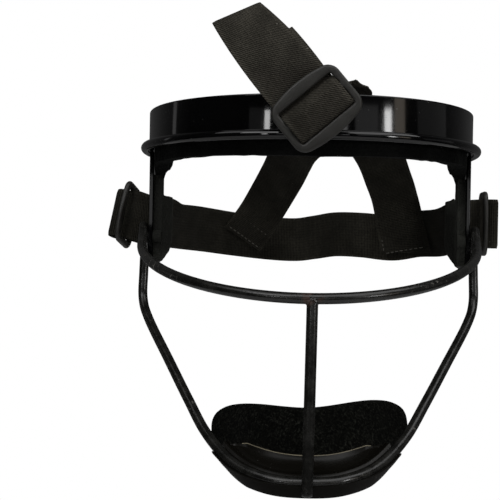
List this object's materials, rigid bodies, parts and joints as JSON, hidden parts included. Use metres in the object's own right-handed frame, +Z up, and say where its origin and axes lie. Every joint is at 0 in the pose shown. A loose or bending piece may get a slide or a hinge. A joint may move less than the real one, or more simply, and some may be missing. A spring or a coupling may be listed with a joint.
{
  "type": "softball fielder mask",
  "caption": "Softball fielder's face mask: glossy forehead band with padded side arms, a welded wire cage, a padded chin cup and an elastic strap harness with slide buckles.",
  "frame": {"origin": "middle of the brow pad's inner face, where the mask sits on the forehead", "axes": "+Z up, +Y back towards the wearer's nape, +X to the right of someone facing the mask"},
  "size_m": [0.2484, 0.2958, 0.2409],
  "materials": {
    "gloss_black": "glossy moulded plastic",
    "black_foam": "matte closed-cell foam",
    "coated_wire": "smooth black vinyl-coated steel wire",
    "cap_metal": "plain push cap",
    "loop_cloth": "brushed loop cloth on foam",
    "elastic_webbing": "ribbed woven elastic",
    "satin_plastic": "satin moulded plastic"
  },
  "bodies": {
    "root": {"forehead_band": "gloss_black", "brow_pad": "black_foam", "side_pad_left": "black_foam", "side_pad_right": "black_foam", "wire_cage": "coated_wire", "stud_cap_left": "cap_metal", "stud_cap_right": "cap_metal", "chin_cup": "gloss_black", "chin_pad": "loop_cloth", "back_strap": "elastic_webbing", "crown_strap_left": "elastic_webbing", "crown_strap_right": "elastic_webbing", "top_strap": "elastic_webbing", "top_strap_tail": "elastic_webbing", "triglide_top": "satin_plastic", "triglide_left": "satin_plastic", "triglide_right": "satin_plastic"}
  },
  "joints": []
}
